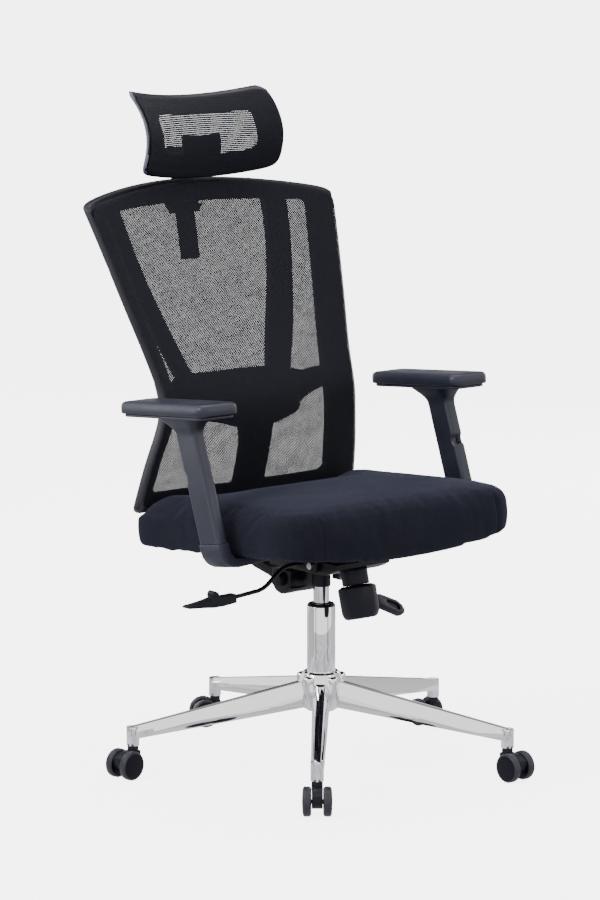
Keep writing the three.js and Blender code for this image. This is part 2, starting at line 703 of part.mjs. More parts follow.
place(chair, 'seat_plate', seatPlate(), blackSteel);
place(chair, 'tilt_shaft', crossRod(SHAFT_RADIUS, -SHAFT_HALF_LENGTH, SHAFT_HALF_LENGTH, TILT_AXIS_Y,
  TILT_AXIS_Z), steel);
place(seat, 'seat_pan', slab(seatOutline(PAN_INSET), PAN_THICKNESS, 2, 5).translate(0, 0, -1.4),
  blackPlastic);
place(seat, 'seat_cushion', seatCushion(), fabric);

// ---------------------------------------------------------------- arms

// Bracket of the left arm: a flat flange bolted under the seat, narrowing and curling up into
// the foot of the post. Its origin is the foot of the post.
function armBracket() {
  const section = new THREE.Shape();
  section.moveTo(0, 0);
  section.lineTo(0, -12);
  section.quadraticCurveTo(-2, -38, -34, -41);
  section.lineTo(-150, -37);
  section.lineTo(-150, -29);
  section.lineTo(-40, -28);
  section.quadraticCurveTo(-SLEEVE_WIDTH, -25, -SLEEVE_WIDTH, -8);
  section.lineTo(-SLEEVE_WIDTH, 0);
  section.closePath();
  const strip = new THREE.ExtrudeGeometry(section, {
    depth: 1,
    steps: 4,
    bevelEnabled: false,
    curveSegments: 5,
  });
  const bent = reshaped(strip.rotateX(Math.PI / 2), (point) => {
    const inward = smooth(-point.x, 24, 90);
    const upright = 1 - inward;
    const front = mix(-SLEEVE_DEPTH / 2, -34, inward);
    const rear = mix(SLEEVE_DEPTH / 2, 128, inward);
    const y = mix(front, rear, 1 + point.y);
    const seatRise = SEAT_CENTRE_Y - ARM_BASE_Y - y;
    const rise = -y * Math.tan(SEAM_LEAN) * upright + seatRise * Math.tan(SEAT_TILT) * inward;
    point.set(point.x, y + point.z * Math.tan(ARM_LEAN) * upright, point.z + rise);
  });
  return bent.translate(SLEEVE_WIDTH / 2, 0, 0);
}

const SEAM_SLOPE = Math.tan(ARM_LEAN - SEAM_LEAN);
const FLARE_WIDTH = 58;
const FLARE_DEPTH = 110;
const FLARE_SHIFT = 5;             // how far the flare moves towards the rear

// Hollow sleeve that slides over the post and flares out under the pad.
function armSleeve() {
  const shell = new THREE.ExtrudeGeometry(rectangle(1, 1, SLEEVE_CORNER), {
    depth: 1,
    steps: 12,
    bevelEnabled: false,
    curveSegments: 4,
  });
  const outer = reshaped(shell, (point) => {
    const share = point.z ** 0.7;
    const height = mix(FIT, SLEEVE_TOP + 20, share);
    const flare = smooth(height, SLEEVE_TOP - 34, SLEEVE_TOP + 12) ** 1.6;
    const width = mix(SLEEVE_WIDTH, FLARE_WIDTH, flare);
    const depth = mix(SLEEVE_DEPTH, FLARE_DEPTH, flare);
    const slant = point.y * SLEEVE_DEPTH * SEAM_SLOPE * (1 - share);
    point.set(point.x * width, point.y * depth + FLARE_SHIFT * flare, height + slant);
  });
  const hollow = new THREE.BoxGeometry(14, 34, POST_LENGTH + 40).translate(0, 0, POST_LENGTH / 2);
  const padLean = ARM_LEAN - SEAT_TILT;
  const above = new THREE.BoxGeometry(200, 300, 80)
    .rotateX(padLean)
    .translate(0, -40 * Math.sin(padLean), SLEEVE_TOP + 40 * Math.cos(padLean));
  return cut(outer, hollow, above);
}

// The two arms are one part, the right one turned half round, so the height button faces the
// rear on the right arm and the front on the left one.
function buildArm(side, label) {
  const arm = new THREE.Group();
  arm.position.set(side * ARM_X, ARM_BASE_Y, ARM_BASE_Z);
  arm.rotation.x = -ARM_LEAN;
  chair.add(arm);
  const facing = -side;
  const faceY = facing * SLEEVE_DEPTH / 2;
  const scoop = crossRod(13, -30, 30, faceY + facing * 8.5, BUTTON_HEIGHT);
  const well = new THREE.BoxGeometry(8.8, 10, 13.8).translate(0, faceY - facing * 3.9, BUTTON_HEIGHT);
  const button = slab(rectangle(8, 13, 2.5), 8, 1.2, 2)
    .rotateX(-facing * Math.PI / 2)
    .translate(0, faceY - facing * 7.4, BUTTON_HEIGHT);
  const post = reshaped(slab(rectangle(12.6, 32.6, 4), POST_LENGTH, 0.8, 2), (point) => {
    const foot = 1 - smooth(point.z, 1, 20);
    point.z += FIT + point.y * SEAM_SLOPE * foot;
  });
  place(arm, `arm_sleeve_${label}`, cut(armSleeve(), scoop, well), armPlastic);
  place(arm, `arm_button_${label}`, button, blackPlastic);
  place(arm, `arm_post_${label}`, post, steel);

  const pad = new THREE.Group();
  pad.position.set(side * PAD_X, PAD_CENTRE_Y, PAD_UNDERSIDE);
  pad.rotation.x = -SEAT_TILT;
  chair.add(pad);
  const base = slab(rectangle(PAD_WIDTH - 9, PAD_LENGTH - 9, 17), PAD_BASE_THICKNESS, 1.2, 3);
  const top = slab(rectangle(PAD_WIDTH, PAD_LENGTH, 20), PAD_THICKNESS, 5, 3);
  place(pad, `arm_pad_base_${label}`, base, armPlastic);
  place(pad, `arm_pad_${label}`, top.translate(0, 0, PAD_BASE_THICKNESS + FIT), armPlastic);
}

// Copy reflected to the other side of the chair, with its faces still pointing out.
function reflected(geometry) {
  const copy = geometry.clone().scale(-1, 1, 1);
  const positions = copy.attributes.position;
  const first = new THREE.Vector3();
  const third = new THREE.Vector3();
  for (let at = 0; at < positions.count; at += 3) {
    first.fromBufferAttribute(positions, at);
    third.fromBufferAttribute(positions, at + 2);
    positions.setXYZ(at, third.x, third.y, third.z);
    positions.setXYZ(at + 2, first.x, first.y, first.z);
  }
  copy.computeVertexNormals();
  return copy;
}

function buildBracket(side, label) {
  const body = side > 0 ? armBracket() : reflected(armBracket());
  const bracket = place(chair, `arm_bracket_${label}`, body, armPlastic);
  bracket.position.set(side * ARM_X, ARM_BASE_Y, ARM_BASE_Z);
}

for (const [side, label] of [[1, 'left'], [-1, 'right']]) {
  buildBracket(side, label);
  buildArm(side, label);
}

// ---------------------------------------------------------------- backrest

function hollowShare(x, height) {
  return 1 - (x / valueAt(EDGE_HALF_WIDTH, height)) ** 2;
}

// Depth of the frame's front face.
function frameDepth(x, height) {
  const inward = valueAt(EDGE_HALF_WIDTH, height) - Math.abs(x);
  const dish = valueAt(RIM_DISH, height) * THREE.MathUtils.clamp(inward / FRAME_BORDER, 0, 1);
  return valueAt(EDGE_DEPTH, height) + dish + valueAt(FRAME_HOLLOW, height) * hollowShare(x, height);
}

// Depth of the spine's front face: behind the frame, except that its lower post stands in front
// of the bottom rail and supports the small of the back.
function spineDepth(x, height) {
  const low = 1 - smooth(height, 580, 665);
  const middle = 1 - smooth(Math.abs(x), 92, 142);
  return frameDepth(x, height) + mix(FRAME_THICKNESS + SPINE_GAP, -SPINE_THICKNESS - POST_GAP, low * middle);
}

// Curved strip of quads with rounded-off thickness: place(along, across) gives [x, height] for
// shares from 0 to 1, and depthAt gives the front face.
function strip(along, across, thickness, place2d, depthAt) {
  const sheet = new THREE.BoxGeometry(1, 1, 1, across, 1, along);
  return reshaped(sheet, (point) => {
    const [x, height] = place2d(point.z + 0.5, point.x + 0.5);
    point.set(x, depthAt(x, height) + (point.y + 0.5) * thickness, height);
  });
}

// Closed four-sided ring: rim(share, inward) gives [x, height] on the outer (0) or inner (1) loop.
function ring(count, thickness, rim, depthAt) {
  const torus = new THREE.TorusGeometry(2, 1, 4, count);
  return reshaped(torus, (point) => {
    const share = (Math.atan2(point.y, point.x) / (2 * Math.PI) + 1) % 1;
    const radial = Math.hypot(point.x, point.y) - 2;
    const inward = (1 - Math.sign(Math.round(radial - point.z))) / 2;
    const backward = (1 - Math.sign(Math.round(radial + point.z))) / 2;
    const [x, height] = rim(share, inward);
    point.set(x, depthAt(x, height) + thickness * backward, height);
  });
}

// Walks round the back's outline, clockwise seen from the front: up the left side, over the
// arched top, down the right side and along the bottom.
const SIDE_STEPS = 20;
const ARCH_STEPS = 10;
const RIM_STEPS = 2 * (SIDE_STEPS + ARCH_STEPS);

function backRim(share, inward) {
  const step = Math.round(share * RIM_STEPS) % RIM_STEPS;
  const margin = inward * FRAME_BORDER;
  const bottom = mix(FRAME_BOTTOM, WINDOW_BOTTOM, inward);
  const top = mix(FRAME_TOP, WINDOW_TOP, inward);
  const arch = mix(FRAME_TOP_ARCH, 7, inward);
  const trim = CORNER_TRIM;
  if (step <= SIDE_STEPS) {
    const height = mix(bottom + trim, top - trim, step / SIDE_STEPS);
    return [valueAt(EDGE_HALF_WIDTH, height) - margin, height];
  }
  if (step < SIDE_STEPS + ARCH_STEPS) {
    const half = valueAt(EDGE_HALF_WIDTH, top) - margin - trim;
    const x = mix(half, -half, (step - SIDE_STEPS - 1) / (ARCH_STEPS - 2));
    return [x, top + arch * (1 - (x / half) ** 2)];
  }
  if (step <= 2 * SIDE_STEPS + ARCH_STEPS) {
    const down = (step - SIDE_STEPS - ARCH_STEPS) / SIDE_STEPS;
    const height = mix(top - trim, bottom + trim, down);
    return [margin - valueAt(EDGE_HALF_WIDTH, height), height];
  }
  const half = valueAt(EDGE_HALF_WIDTH, bottom) - margin - trim;
  const right = (step - 2 * SIDE_STEPS - ARCH_STEPS - 1) / (ARCH_STEPS - 2);
  return [mix(-half, half, right), bottom];
}

// One rear bar of the spine, from the lumbar band up to the top rail.
const BAR_LOW = 650;
const BAR_HIGH = 970;
const BAR_INNER = [[650, 80], [740, 112], [830, 141], [900, 157], [970, 167]];
const BAR_OUTER = [[650, 122], [740, 155], [830, 180], [900, 196], [970, 208]];

function spineBar(side) {
  return (along, across) => {
    const height = mix(BAR_LOW, BAR_HIGH, along);
    const inner = valueAt(BAR_INNER, height);
    const outer = valueAt(BAR_OUTER, height);
    return side > 0 ? [mix(inner, outer, across), height] : [-mix(outer, inner, across), height];
  };
}

// Lumbar band: tall in the middle, rising to a narrow tongue on each side behind the frame.
const BAND_LOW = [[0, 578], [46, 580], [73, 589], [109, 597], [139, 612], [196, 636]];
const BAND_HIGH = [[0, 668], [120, 667], [150, 657], [172, 662], [196, 666]];
const BAND_REACH = 194;

function lumbarBand(along, across) {
  const x = mix(-BAND_REACH, BAND_REACH, across);
  return [x, mix(valueAt(BAND_LOW, Math.abs(x)), valueAt(BAND_HIGH, Math.abs(x)), along)];
}

// Post below the band, a little wider towards both ends.
const POST_BOTTOM = 452;
const POST_TOP = 594;
const POST_HALF_WIDTH = [[452, 32], [520, 32], [560, 33], [594, 40]];

function spinePost(along, across) {
  const height = mix(POST_BOTTOM, POST_TOP, along);
  const half = valueAt(POST_HALF_WIDTH, height);
  return [mix(-half, half, across), height];
}

function backSpine() {
  const pieces = [strip(4, 18, SPINE_THICKNESS, lumbarBand, spineDepth),
    strip(9, 2, SPINE_THICKNESS, spinePost, spineDepth),
    strip(10, 1, SPINE_THICKNESS, spineBar(1), spineDepth),
    strip(10, 1, SPINE_THICKNESS, spineBar(-1), spineDepth)];
  return joined(...pieces);
}

// Curved bar under the seat from the back's pivot up to the foot of the spine.
function backBar() {
  const side = new THREE.Shape();
  side.moveTo(BACK_AXIS_Y - 11, 315);
  side.quadraticCurveTo(BACK_AXIS_Y + 20, 308, 120, 322);
  side.quadraticCurveTo(229, 340, 255, 404);
  side.lineTo(257, 458);
  side.lineTo(245, 458);
  side.lineTo(242, 412);
  side.quadraticCurveTo(213, 360, 118, 337);
  side.lineTo(BACK_AXIS_Y - 11, 334);
  side.closePath();
  const bore = crossRod(PIN_RADIUS + RUN, -60, 60, BACK_AXIS_Y, BACK_AXIS_Z);
  return cut(crosswise(side, 2 * BAR_HALF_WIDTH, 6), bore);
}

// Thin stretched sheet on a grid, following the frame's outline.
function backMesh() {
  const sheet = new THREE.BoxGeometry(2, 1, 1, 10, 1, SIDE_STEPS);
  return reshaped(sheet, (point) => {
    const share = point.z + 0.5;
    const level = mix(FRAME_BOTTOM + CORNER_TRIM, FRAME_TOP - CORNER_TRIM, share);
    const half = valueAt(EDGE_HALF_WIDTH, level) - 1;
    const arch = (FRAME_TOP_ARCH + CORNER_TRIM - 2) * (1 - point.x ** 2);
    const height = level + arch * smooth(share, 0.6, 1);
    const depth = valueAt(EDGE_DEPTH, level) - MESH_THICKNESS - MESH_GAP
      + valueAt(MESH_HOLLOW, level) * (1 - point.x ** 2);
    point.set(point.x * half, depth + (point.y + 0.5) * MESH_THICKNESS, height);
  });
}

place(chair, 'back_frame', ring(RIM_STEPS, FRAME_THICKNESS, backRim, frameDepth), blackPlastic);
place(chair, 'back_spine', backSpine(), blackPlastic);
place(chair, 'back_bar', backBar(), blackSteel);
place(chair, 'back_mesh', backMesh(), meshFabric);

// ---------------------------------------------------------------- headrest

const head = new THREE.Group();
head.position.set(0, HEAD_AXIS_Y, HEAD_AXIS_Z);
head.rotation.x = -STEM_LEAN;
chair.add(head);

// Flat stem in the guide on the back, with a round knuckle on top.
function headStem() {
  const flat = slab(rectangle(STEM_WIDTH, STEM_DEPTH, 3), 196, 1, 2).translate(0, 0, -190);
  return joined(flat, rod(13, -21, 21, 24).rotateY(Math.PI / 2));
}

// Guide fixed behind the top rail, tapering downwards, with a slot for the stem.
function stemGuide() {
  const face = outline([[-46, -74], [-27, -106], [27, -106], [46, -74], [46, -50], [-46, -50]]);
  const block = extruded(face, 17).rotateX(Math.PI / 2).translate(0, 8.6, 0);
  const slot = new THREE.BoxGeometry(STEM_WIDTH + 2 * FIT, STEM_DEPTH + 2 * FIT, 90)
    .translate(0, 0, -76);
  const rail = new THREE.BoxGeometry(140, 60, 90)
    .translate(0, RAIL_REAR - 30 - HEAD_AXIS_Y, WINDOW_TOP + 44 - HEAD_AXIS_Z)
    .rotateX(STEM_LEAN);
  return cut(block, slot, rail);
}

function headDepth(x, height) {
  return valueAt(HEAD_DEPTH, height) + HEAD_HOLLOW * (1 - (x / HEAD_HALF_WIDTH) ** 2);
}

// Gives [x, height] with the middle hanging lower than the ends.
function sagged(x, height) {
  return [x, height - HEAD_SAG * (1 - (x / HEAD_HALF_WIDTH) ** 2)];
}

function headFront(x, height) {
  return headDepth(x, height + HEAD_SAG * (1 - (x / HEAD_HALF_WIDTH) ** 2));
}

const HEAD_ACROSS = 10;
const HEAD_UP = 6;
const HEAD_STEPS = 2 * (HEAD_ACROSS + HEAD_UP);

// Walks round the headrest's outline in the same sense as the back's.
function headRim(share, inward) {
  const step = Math.round(share * HEAD_STEPS) % HEAD_STEPS;
  const half = mix(HEAD_HALF_WIDTH, HEAD_WINDOW_HALF_WIDTH, inward);
  const bottom = mix(HEAD_BOTTOM, HEAD_WINDOW_BOTTOM, inward);
  const top = mix(HEAD_TOP, HEAD_WINDOW_TOP, inward);
  const trim = CORNER_TRIM;
  if (step <= HEAD_UP) {
    return sagged(half, mix(bottom + trim, top - trim, step / HEAD_UP));
  }
  if (step < HEAD_UP + HEAD_ACROSS) {
    const leftward = (step - HEAD_UP - 1) / (HEAD_ACROSS - 2);
    return sagged(mix(half - trim, trim - half, leftward), top);
  }
  if (step <= 2 * HEAD_UP + HEAD_ACROSS) {
    const down = (step - HEAD_UP - HEAD_ACROSS) / HEAD_UP;
    return sagged(-half, mix(top - trim, bottom + trim, down));
  }
  const rightward = (step - 2 * HEAD_UP - HEAD_ACROSS - 1) / (HEAD_ACROSS - 2);
  return sagged(mix(trim - half, half - trim, rightward), bottom);
}

function headFrame() {
  return ring(HEAD_STEPS, HEAD_THICKNESS, headRim, headFront);
}

function headSheet(halfWidth, bottom, top) {
  return (along, side) => sagged(mix(-halfWidth, halfWidth, side), mix(bottom, top, along));
}

function headMesh() {
  const rim = headSheet(HEAD_HALF_WIDTH - 4, HEAD_BOTTOM + 4, HEAD_TOP - 4);
  return strip(HEAD_UP, HEAD_ACROSS, MESH_THICKNESS, rim,
    (x, height) => headFront(x, height) - MESH_THICKNESS - 1.4 * MESH_GAP);
}

// Fork that hugs the stem's knuckle and reaches forward to the headrest frame.
function headBracket() {
  const plateSheet = headSheet(42, HEAD_BOTTOM + 22, HEAD_BOTTOM + 76);
  const pieces = [strip(3, 4, 8, plateSheet, (x, height) => headFront(x, height) + HEAD_THICKNESS + 5)];
  const front = headFront(0, HEAD_AXIS_Z) + HEAD_THICKNESS + 9;
  for (const side of [-1, 1]) {
    const ear = new THREE.BoxGeometry(9, HEAD_AXIS_Y - front, 20)
      .translate(side * 27, (HEAD_AXIS_Y + front) / 2, HEAD_AXIS_Z);
    pieces.push(ear, crossRod(12, side * 27 - 4.5, side * 27 + 4.5, HEAD_AXIS_Y, HEAD_AXIS_Z));
  }
  return joined(...pieces);
}

place(head, 'headrest_stem', headStem(), blackPlastic);
place(head, 'stem_guide', stemGuide(), blackPlastic);
place(chair, 'headrest_frame', headFrame(), headPlastic);
place(chair, 'headrest_mesh', headMesh(), meshFabric);
place(chair, 'headrest_bracket', headBracket(), blackPlastic);

export default chair;
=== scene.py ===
"""Looks of a swivel office chair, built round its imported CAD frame.

Metres, +Z up. The sitter faces -Y, with the sitter's left hand towards +X.
"""

import json
import math

import bmesh
import bpy
from mathutils import Matrix, Vector


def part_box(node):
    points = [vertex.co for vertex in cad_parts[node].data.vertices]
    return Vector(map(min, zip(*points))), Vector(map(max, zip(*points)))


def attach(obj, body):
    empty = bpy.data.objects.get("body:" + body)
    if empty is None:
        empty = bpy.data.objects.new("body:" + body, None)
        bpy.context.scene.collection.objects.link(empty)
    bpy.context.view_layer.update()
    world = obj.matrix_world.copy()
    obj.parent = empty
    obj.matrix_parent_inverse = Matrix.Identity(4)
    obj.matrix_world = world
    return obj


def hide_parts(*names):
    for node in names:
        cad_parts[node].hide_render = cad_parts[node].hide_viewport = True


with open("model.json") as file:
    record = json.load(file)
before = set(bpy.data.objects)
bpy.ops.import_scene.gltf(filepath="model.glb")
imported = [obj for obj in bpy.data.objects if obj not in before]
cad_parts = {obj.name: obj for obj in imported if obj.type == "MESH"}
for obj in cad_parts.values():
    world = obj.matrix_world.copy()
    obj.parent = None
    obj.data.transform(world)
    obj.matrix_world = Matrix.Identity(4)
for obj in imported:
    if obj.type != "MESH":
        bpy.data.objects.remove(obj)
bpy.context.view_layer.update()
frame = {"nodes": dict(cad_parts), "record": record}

MM = 0.001

# ---------------------------------------------------------------- driving dimensions

COLUMN = Vector((1.5, -37.3, 0)) * MM    # where the gas lift stands
SEAT_TILT = math.radians(4.7)
ARM_LEAN = math.radians(19.5)
SEAM_LEAN = math.radians(9)
ARM_X = 285 * MM
ARM_BASE_Y = -57.5 * MM
ARM_BASE_Z = 434 * MM
SLEEVE_DEPTH = 52 * MM
SLEEVE_WIDTH = 24 * MM
SLEEVE_FOOT = 0.4 * MM
SLEEVE_TOP = 217.6 * MM
FLARE_HEIGHT = 34 * MM
FLARE_DEPTH = 43 * MM
FLARE_WIDTH = 25 * MM
FLARE_SHIFT = 5 * MM                     # towards the rear
FLARE_ROUND = 14 * MM
FLARE_DIVISOR = 0.74
SLEEVE_ROUND = 8 * MM
SLEEVE_LEVELS = 84
SLEEVE_HOLLOW = (14 * MM, 34 * MM, 190 * MM)
HOLLOW_MIDDLE = 75 * MM
BUTTON_WELL = (8.8 * MM, 10 * MM, 13.8 * MM)
WELL_DEPTH = 3.9 * MM
BUTTON_HEIGHT = 116 * MM
SCOOP_RADIUS = 13 * MM
SCOOP_CENTRE = 8.5 * MM
PAD_X = 284 * MM
PAD_Y = 37 * MM
PAD_Z = 637.7 * MM
PAD_LENGTH = 236 * MM
PAD_WIDTH = 84 * MM
PAD_LIFT = 5.4 * MM

LEG_COUNT = 5
FIRST_LEG = math.radians(-131.4)
TREAD_START = 20.6 * MM                  # from the axle out
WHEEL_FACE_AREA = 100 * MM * MM          # larger faces are the wheel's discs
PILLAR_REACH = 35.5 * MM                 # from the column's axis

FINE_LEVELS = 2
RING_CREASE = 0.5
RIM_TURN = 2.6 * MM                      # how far a mesh's rim turns back round its frame


# ---------------------------------------------------------------- node helpers

def node(tree, kind, inputs=None, **settings):
    made = tree.nodes.new(kind)
    for key, value in settings.items():
        setattr(made, key, value)
    for key, value in (inputs or {}).items():
        if isinstance(value, bpy.types.NodeSocket):
            tree.links.new(value, made.inputs[key])
        else:
            made.inputs[key].default_value = value
    return made


def maths(tree, operation, first, second=0.0):
    return node(tree, "ShaderNodeMath", {0: first, 1: second}, operation=operation).outputs[0]


def ranged(tree, value, low, high, from_low=0.0, from_high=1.0):
    inputs = {"Value": value, "From Min": from_low, "From Max": from_high, "To Min": low, "To Max": high}
    return node(tree, "ShaderNodeMapRange", inputs).outputs["Result"]


def noise(tree, place, scale, detail=3.0):
    inputs = {"Vector": place, "Scale": scale, "Detail": detail}
    return node(tree, "ShaderNodeTexNoise", inputs).outputs["Fac"]


def blended(tree, share, first, second):
    made = node(tree, "ShaderNodeMix", {0: share}, data_type="RGBA")
    made.inputs[6].default_value = (*first, 1)
    made.inputs[7].default_value = (*second, 1)
    return made.outputs[2]


def shaded(name, **sockets):
    """A Principled surface; gives its material, node tree, shader and object coordinates."""
    surface = bpy.data.materials.new(name)
    surface.use_nodes = True
    tree = surface.node_tree
    shader = tree.nodes["Principled BSDF"]
    for label, value in sockets.items():
        shader.inputs[label.replace("_", " ")].default_value = value
    place = tree.nodes.new("ShaderNodeTexCoord").outputs["Object"]
    return surface, tree, shader, place


def bumped(tree, shader, height, depth, strength=0.5):
    inputs = {"Height": height, "Distance": depth, "Strength": strength}
    made = node(tree, "ShaderNodeBump", inputs)
    tree.links.new(made.outputs["Normal"], shader.inputs["Normal"])


def times(colour, factor):
    return tuple(channel * factor for channel in colour)


# ---------------------------------------------------------------- materials

RUBBED_FROM = 0.52    # pointiness at which an edge begins to look rubbed
RUBBED_FULL = 0.6


def moulded(name, colour, roughness, grain=1.1 * MM, depth=0.05 * MM, coat=0.0, wear=1.7, gloss=0.16):
    """Textured plastic or powder coat: fine grain, cloudy gloss and edges rubbed a little lighter."""
    surface, tree, shader, place = shaded(name, Coat_Weight=coat, Coat_Roughness=0.25,
                                          Specular_IOR_Level=gloss)
    cloud = noise(tree, place, 14.0)
    edge = tree.nodes.new("ShaderNodeNewGeometry").outputs["Pointiness"]
    rubbed = ranged(tree, edge, 0.0, 0.7, RUBBED_FROM, RUBBED_FULL)
    share = maths(tree, "ADD", maths(tree, "MULTIPLY", cloud, 0.4), rubbed)
    paint = blended(tree, share, times(colour, 0.85), times(colour, wear))
    tree.links.new(paint, shader.inputs["Base Color"])
    spread = ranged(tree, cloud, roughness - 0.07, roughness + 0.09, 0.3, 0.7)
    tree.links.new(spread, shader.inputs["Roughness"])
    bumped(tree, shader, noise(tree, place, 1 / grain, 2.0), depth)
    return surface


def plated(name, colour, roughness):
    """Metal plate: near-mirror, with faint haze and polishing marks."""
    surface, tree, shader, place = shaded(name, Metallic=1.0)
    haze = noise(tree, place, 22.0)
    tree.links.new(blended(tree, haze, times(colour, 0.94), colour), shader.inputs["Base Color"])
    spread = ranged(tree, haze, roughness * 0.6, roughness * 1.5, 0.3, 0.7)
    tree.links.new(spread, shader.inputs["Roughness"])
    bumped(tree, shader, noise(tree, place, 60.0, 4.0), 0.02 * MM, 0.12)
    return surface


def threads(tree, place, pitch):
    """Height of a close knit that looks the same on every side of a piece, from -3 to 3."""
    axes = node(tree, "ShaderNodeSeparateXYZ", {"Vector": place}).outputs
    waves = [maths(tree, "SINE", maths(tree, "MULTIPLY", axis, math.tau / pitch)) for axis in axes]
    return maths(tree, "ADD", maths(tree, "ADD", waves[0], waves[1]), waves[2])


# Slants the knit's rows, so that none runs level over a nearly flat face and draws rings there.
KNIT_TURN = (0.6, 0.45, 0.3)


def knitted(name, colour, pitch):
    """Close upholstery knit with soft sheen, thread relief and uneven dye."""
    surface, tree, shader, place = shaded(name, Sheen_Weight=0.1, Sheen_Roughness=0.5,
                                          Roughness=0.93, Specular_IOR_Level=0.08)
    shader.inputs["Sheen Tint"].default_value = (0.55, 0.6, 0.95, 1)
    turned = node(tree, "ShaderNodeVectorRotate", {"Vector": place, "Rotation": KNIT_TURN},
                  rotation_type="EULER_XYZ")
    height = threads(tree, turned.outputs[0], pitch)
    cloud = noise(tree, place, 30.0, 4.0)
    weave = ranged(tree, height, 0.0, 0.6, -2.0, 2.0)
    share = maths(tree, "ADD", weave, maths(tree, "MULTIPLY", cloud, 0.5))
    dye = blended(tree, share, times(colour, 0.6), times(colour, 1.5))
    tree.links.new(dye, shader.inputs["Base Color"])
    relief = maths(tree, "ADD", height, maths(tree, "MULTIPLY", noise(tree, place, 700.0), 2.0))
    bumped(tree, shader, relief, 0.12 * MM, 0.6)
    return surface


COLUMN_WEIGHT = 1.25    # of the upright waves against the level ones
HOLE_DRIFT = 0.3
HOLE_EDGE = 0.25


def netted(name, colour, across, up, slant, cover):
    """See-through mesh: holes where crossed waves rise above the level of cover, threads elsewhere."""
    surface, tree, shader, place = shaded(name, Sheen_Weight=0.05, Sheen_Roughness=0.4,
                                          Roughness=0.75, Specular_IOR_Level=0.12)
    turn = node(tree, "ShaderNodeVectorRotate", {"Vector": place, "Angle": slant}, rotation_type="Y_AXIS")
    axes = node(tree, "ShaderNodeSeparateXYZ", {"Vector": turn.outputs[0]}).outputs
    rows = maths(tree, "SINE", maths(tree, "MULTIPLY", axes["X"], math.tau / across))
    columns = maths(tree, "SINE", maths(tree, "MULTIPLY", axes["Z"], math.tau / up))
    holes = maths(tree, "ADD", rows, maths(tree, "MULTIPLY", columns, COLUMN_WEIGHT))
    drift = maths(tree, "MULTIPLY", noise(tree, place, 60.0), HOLE_DRIFT)
    opening = maths(tree, "ADD", holes, drift)
    thread = ranged(tree, opening, 1.0, 0.0, cover - HOLE_EDGE, cover + HOLE_EDGE)
    tree.links.new(thread, shader.inputs["Alpha"])
    dye = blended(tree, ranged(tree, holes, 0.0, 1.0, -2.2, 1.0), times(colour, 1.5), times(colour, 0.6))
    tree.links.new(dye, shader.inputs["Base Color"])
    bumped(tree, shader, holes, -0.15 * MM, 0.5)
    return surface


chrome = plated("chrome", (0.86, 0.86, 0.88), 0.035)
steel = plated("steel", (0.6, 0.6, 0.62), 0.25)
zinc = plated("zinc", (0.66, 0.66, 0.74), 0.2)
black_steel = moulded("black_steel", (0.006, 0.006, 0.009), 0.35, gloss=0.2)
black_plastic = moulded("black_plastic", (0.009, 0.0095, 0.016), 0.4, gloss=0.18)
gloss_plastic = moulded("gloss_plastic", (0.005, 0.005, 0.008), 0.2, depth=0.01 * MM, coat=0.1, gloss=0.2)
arm_plastic = moulded("arm_plastic", (0.016, 0.0175, 0.033), 0.4, grain=0.9 * MM, gloss=0.4)
frame_plastic = moulded("frame_plastic", (0.006, 0.0068, 0.0135), 0.36, gloss=0.25)
wheel_plastic = moulded("wheel_plastic", (0.006, 0.006, 0.0115), 0.28, depth=0.02 * MM, gloss=0.12)
tread_rubber = moulded("tread_rubber", (0.03, 0.03, 0.04), 0.35, gloss=0.3)
head_plastic = moulded("head_plastic", (0.1, 0.1, 0.165), 0.38, gloss=0.4)
seat_fabric = knitted("seat_fabric", (0.0115, 0.012, 0.02), 1.2 * MM)
back_net = netted("back_net", (0.011, 0.0115, 0.018), 2.7 * MM, 2.7 * MM, math.radians(38), 2.12)
head_net = netted("head_net", (0.011, 0.0115, 0.018), 1.8 * MM, 3.4 * MM, 0.0, 2.02)


# ---------------------------------------------------------------- mesh helpers

def added(name, mesh, *surfaces):
    piece = bpy.data.objects.new(name, mesh)
    bpy.context.scene.collection.objects.link(piece)
    mesh.materials.clear()
    for surface in surfaces:
        mesh.materials.append(surface)
    return piece


SHARP_ANGLE = math.radians(32)           # edges that turn further than this are shaded sharp
CLOTH_ANGLE = math.radians(80)
RING_ANGLE = math.radians(60)
CREASE_ANGLE = math.radians(48)
BEVEL_ANGLE = math.radians(28)
QUAD_ANGLE = math.radians(60)            # the most by which two triangles joined to a quad may differ


def smoothed(mesh, angle=SHARP_ANGLE):
    mesh.shade_smooth()
    mesh.set_sharp_from_angle(angle=angle)


def applied(piece, angle=SHARP_ANGLE):
    """Turns a piece's modifiers into its mesh."""
    bpy.context.view_layer.update()
    graph = bpy.context.evaluated_depsgraph_get()
    mesh = bpy.data.meshes.new_from_object(piece.evaluated_get(graph))
    piece.modifiers.clear()
    piece.data = mesh
    smoothed(mesh, angle)
    return piece


def welded(label, flat=math.radians(1)):
    """The CAD node's shape as a new mesh, with its flat facets merged."""
    work = bmesh.new()
    work.from_mesh(frame["nodes"][label].data)
    bmesh.ops.remove_doubles(work, verts=work.verts, dist=0.002 * MM)
    if flat:
        bmesh.ops.dissolve_limit(work, angle_limit=flat, verts=work.verts, edges=work.edges)
    mesh = bpy.data.meshes.new(label + "_shape")
    work.to_mesh(mesh)
    work.free()
    spare = mesh.attributes.get("custom_normal")
    if spare:
        mesh.attributes.remove(spare)
    return mesh


def refined(label, body, surface, width=0.8 * MM, segments=2):
    """Stands for a hard CAD node: the same shape, with rounded edges and smooth shading."""
    piece = added(label + "_finish", welded(label), surface)
    bevel = piece.modifiers.new("edges", "BEVEL")
    bevel.width = width
    bevel.segments = segments
    bevel.limit_method = "ANGLE"
    bevel.angle_limit = BEVEL_ANGLE
    applied(piece)
    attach(piece, body)
    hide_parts(label)
    return piece


